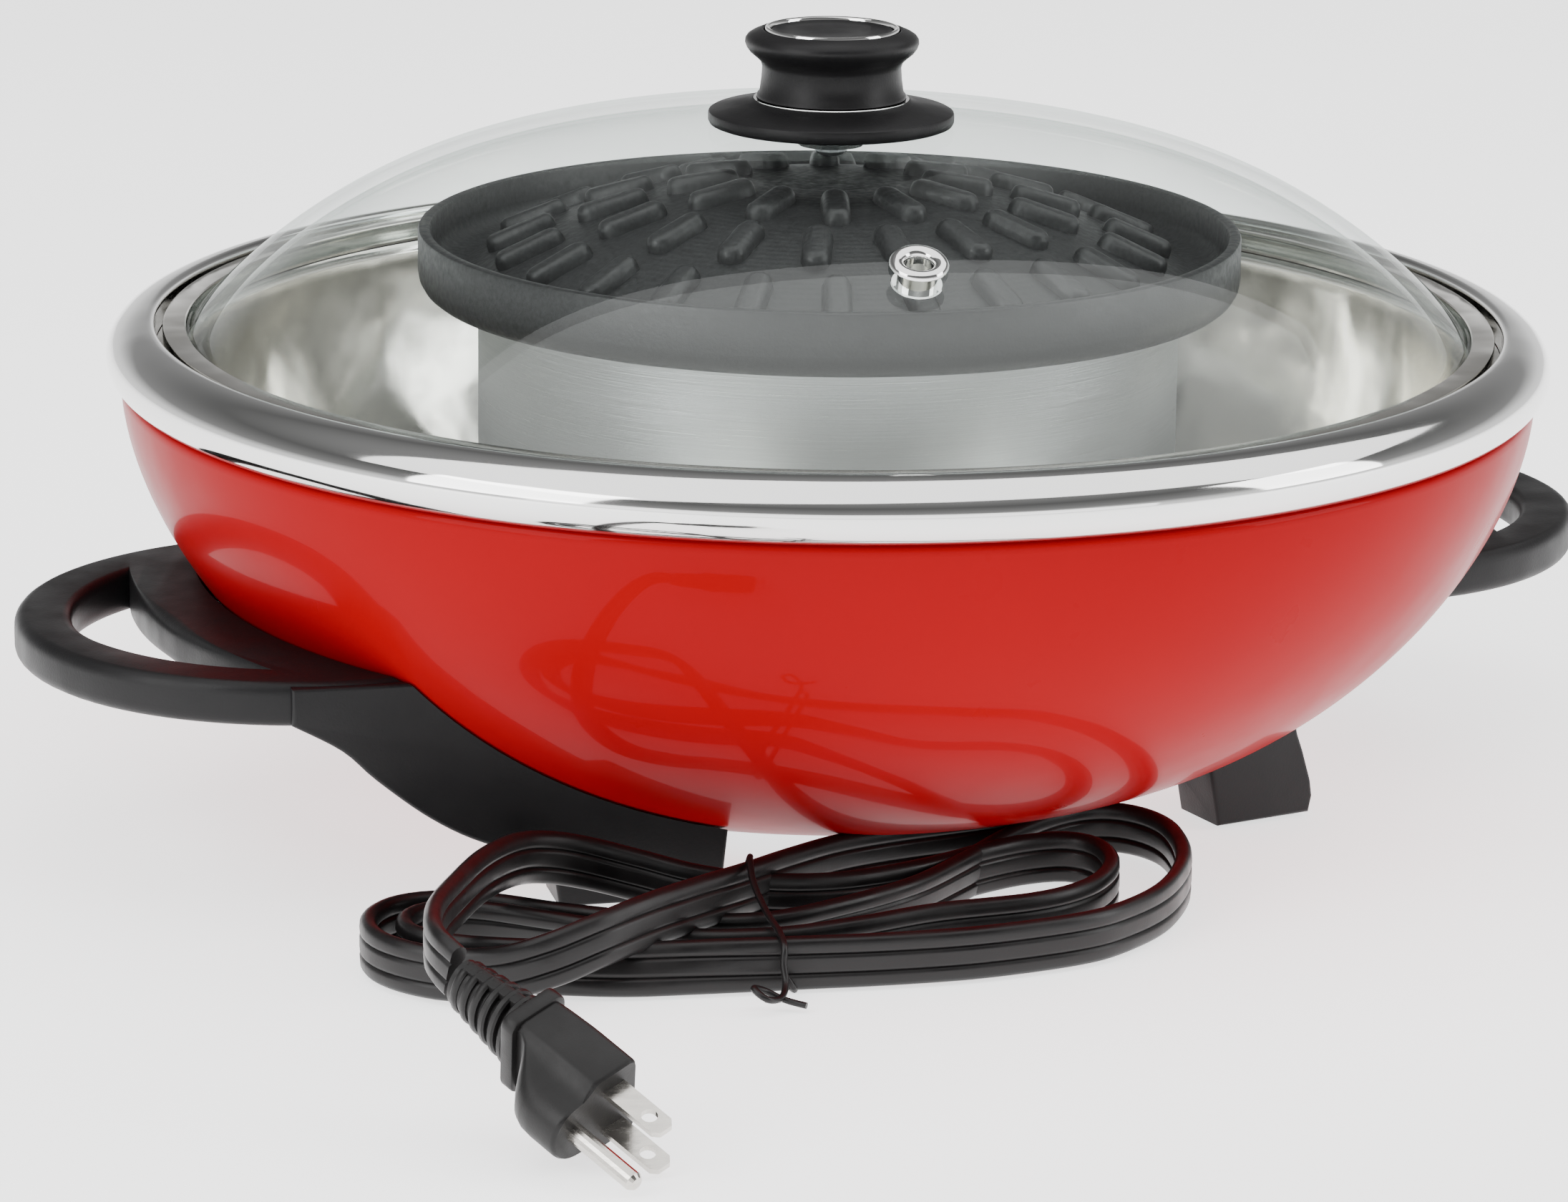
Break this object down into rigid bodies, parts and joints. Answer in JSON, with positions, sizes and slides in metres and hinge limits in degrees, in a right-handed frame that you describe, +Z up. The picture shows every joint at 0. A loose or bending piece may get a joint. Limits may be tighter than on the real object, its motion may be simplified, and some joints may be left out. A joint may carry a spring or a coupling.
{
  "type": "electric hot pot with grill",
  "caption": "Wide round electric pot with a central grill plate on a drum, domed glass lid, loop handles on a footed frame, rear heat dial and a tied power cord.",
  "frame": {"origin": "on the table, at the bottom of the feet, on the axis of the round pot; the free cord and its plug are left out of this", "axes": "+Z up along the pot's axis; X through the two loop handles; +Y towards the back, where the control box and dial are"},
  "size_m": [0.468, 0.4864, 0.2133],
  "materials": {
    "red_paint": "gloss candy-red enamel on sheet steel",
    "polished_steel": "polished stainless steel sheet",
    "brushed_steel": "brushed stainless steel, grain round the drum",
    "bright_chrome": "bright chrome",
    "clear_glass": "clear tempered glass, a little green at the edge",
    "black_plastic": "satin black moulded phenolic",
    "black_rubber": "matt black rubber",
    "zinc_steel": "bright zinc plated steel",
    "black_cast": "cast aluminium with a satin black non-stick coat",
    "white_plastic": "off-white moulded plastic",
    "brown_pvc": "brown PVC insulation",
    "green_pvc": "green PVC insulation",
    "blue_pvc": "blue PVC insulation",
    "brass_shaft": "turned brass",
    "amber_lens": "clear amber lens",
    "black_pvc": "soft black PVC, slightly satin"
  },
  "bodies": {
    "base": {"bottom_cover": "zinc_steel", "control_box": "black_plastic", "control_face": "black_plastic", "cord_gland": "black_rubber", "cord_hank": "black_pvc", "cord_lead": "black_pvc", "cord_tail": "black_pvc", "cover_screw_1": "zinc_steel", "cover_screw_2": "zinc_steel", "cover_screw_3": "zinc_steel", "cover_screw_4": "zinc_steel", "drum": "brushed_steel", "earth_lead": "green_pvc", "foot_pad_1": "black_rubber", "foot_pad_2": "black_rubber", "foot_pad_3": "black_rubber", "foot_pad_4": "black_rubber", "frame_screw_1": "zinc_steel", "frame_screw_2": "zinc_steel", "frame_screw_3": "zinc_steel", "frame_screw_4": "zinc_steel", "grill_element": "zinc_steel", "foot_block_left": "black_plastic", "foot_block_right": "black_plastic", "handle_frame_left": "black_plastic", "handle_frame_right": "black_plastic", "live_lead": "brown_pvc", "neutral_lead": "blue_pvc", "outer_shell": "red_paint", "pilot_lens": "amber_lens", "plug_blade_lower": "polished_steel", "plug_blade_upper": "polished_steel", "plug_body": "black_pvc", "plug_boot": "black_pvc", "plug_ground_pin": "polished_steel", "pot": "polished_steel", "pot_element": "zinc_steel", "reflector_pan": "zinc_steel", "rim": "bright_chrome", "terminal_block": "white_plastic", "thermostat": "white_plastic", "twist_tie": "black_pvc"},
    "grill": {"grill_plate": "black_cast"},
    "lid": {"lid_glass": "clear_glass", "lid_band": "polished_steel", "vent_eyelet": "bright_chrome", "knob_base": "black_plastic", "knob_grip": "black_plastic", "knob_ring": "bright_chrome", "knob_insert": "black_plastic", "knob_washer": "black_rubber", "knob_screw": "zinc_steel"},
    "dial": {"dial": "black_plastic", "dial_shaft": "brass_shaft"}
  },
  "joints": [
    {"name": "grill_lift", "type": "slide", "parent": "base", "child": "grill", "axis": [0, 0, 1], "range_m": [0, 0.12]},
    {"name": "lid_lift", "type": "slide", "parent": "grill", "child": "lid", "axis": [0, 0, 1], "range_m": [0, 0.16]},
    {"name": "dial_turn", "type": "hinge", "parent": "base", "child": "dial", "pos_m": [0, 0.1623, 0.024], "axis": [0, 1, 0], "range_deg": [0, 270]}
  ]
}
